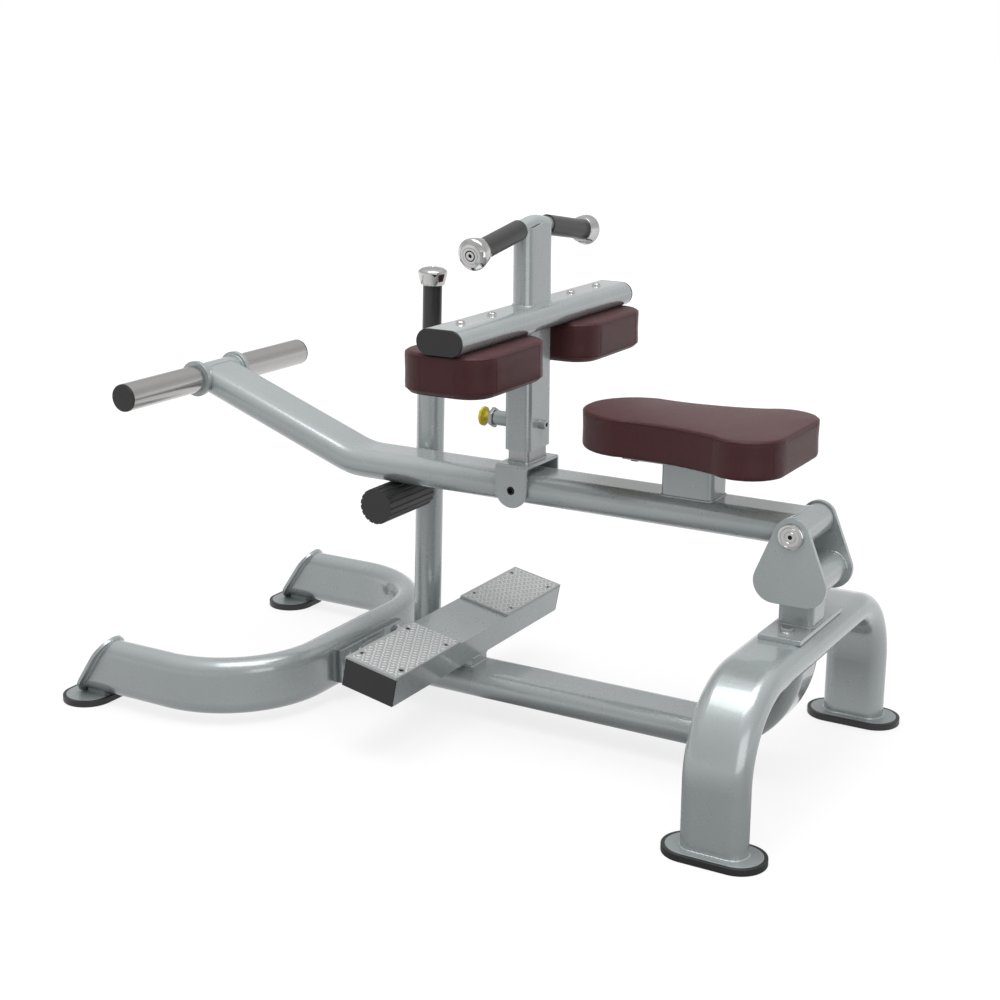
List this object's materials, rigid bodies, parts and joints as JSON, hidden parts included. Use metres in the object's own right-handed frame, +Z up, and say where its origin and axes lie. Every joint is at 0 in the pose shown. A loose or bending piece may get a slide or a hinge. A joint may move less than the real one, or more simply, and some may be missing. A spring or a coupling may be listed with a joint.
{
  "type": "seated calf raise machine",
  "caption": "Seated calf raise machine: a hinged lever carries the seat, plate horns and a height-set thigh pad over a foot rest; a swing catch holds the lever up.",
  "frame": {"origin": "middle of the footprint, on the floor", "axes": "+X towards the lever pivot and rear arch, -X towards the weight horns, +Y towards the safety catch's side (the user's right when facing the horns), +Z up"},
  "size_m": [1.36, 0.736, 0.8912],
  "materials": {
    "board": "plywood",
    "bolt": "dark zinc",
    "brass": "sintered bronze",
    "bush": "self-lubricating plastic",
    "cap": "black plastic",
    "chrome": "polished chrome",
    "foot_plate": "silver-grey paint, inside a rubber boot",
    "grip": "soft black grip",
    "knob": "yellow plastic",
    "leather": "dark maroon leatherette",
    "paint": "metallic silver-grey gloss paint",
    "rubber": "moulded black rubber",
    "steel": "plain steel",
    "tread": "embossed tread plate"
  },
  "bodies": {
    "base": {"rear_arch": "paint", "rear_foot_plates": "foot_plate", "rear_foot_pads": "rubber", "front_foot_plates": "foot_plate", "front_foot_pads": "rubber", "front_u_frame": "paint", "front_end_plates": "paint", "joint_flanges": "paint", "frame_bolts": "bolt", "floor_beam": "paint", "foot_rest_beam": "paint", "foot_rest_caps": "cap", "tread_plates": "tread", "tread_screws": "bolt", "foot_rest_saddle": "paint", "bracket_base_plate": "paint", "bracket_cross_tube": "paint", "bracket_post": "paint", "bracket_side_plates": "paint", "lever_axle": "steel", "axle_caps": "chrome", "catch_pivot_pin": "steel"},
    "lever": {"lever_beam": "paint", "hub_tube": "paint", "hub_bushes": "brass", "clevis_bush": "paint", "horn_cross_tube": "paint", "horn_collars": "paint", "weight_sleeve_left": "chrome", "weight_sleeve_right": "chrome", "sleeve_caps": "cap", "seat_post": "paint", "seat_mount_plate": "paint", "seat_board": "board", "seat_pad": "leather", "seat_screws": "bolt"},
    "clevis": {"clevis_bracket": "paint", "clevis_pin": "bolt", "inner_post": "steel"},
    "carriage": {"outer_post": "paint", "set_screw": "bolt", "post_liner": "bush", "pad_beam": "paint", "pad_beam_caps": "cap", "pad_screws": "chrome", "upper_post": "paint", "handle_tube": "paint", "handle_grips": "grip", "handle_caps": "chrome", "thigh_boards": "board", "thigh_pad_left": "leather", "thigh_pad_right": "leather", "plunger_housing": "steel", "plunger_spring": "steel"},
    "plunger": {"plunger_knob": "knob", "plunger_pin": "steel"},
    "catch": {"catch_post": "paint", "catch_grip": "grip", "catch_cap": "chrome", "stop_roller": "rubber"}
  },
  "joints": [
    {"name": "lever_pivot", "type": "hinge", "parent": "base", "child": "lever", "pos_m": [0.602, 0, 0.434], "axis": [0, 1, 0], "range_deg": [0, 12]},
    {"name": "clevis_pivot", "type": "hinge", "parent": "lever", "child": "clevis", "pos_m": [0.1, 0, 0.434], "axis": [0, 1, 0], "range_deg": [-10, 10]},
    {"name": "pad_height", "type": "slide", "parent": "clevis", "child": "carriage", "axis": [0, 0, 1], "range_m": [0, 0.075]},
    {"name": "plunger_pull", "type": "slide", "parent": "carriage", "child": "plunger", "axis": [-1, 0, 0], "range_m": [0, 0.01], "stiffness_N_per_m": 900, "springref_m": -0.004, "deforming": ["plunger_spring"]},
    {"name": "catch_swing", "type": "hinge", "parent": "base", "child": "catch", "pos_m": [-0.158, 0.081, 0.063], "axis": [0, -1, 0], "range_deg": [0, 25]}
  ]
}
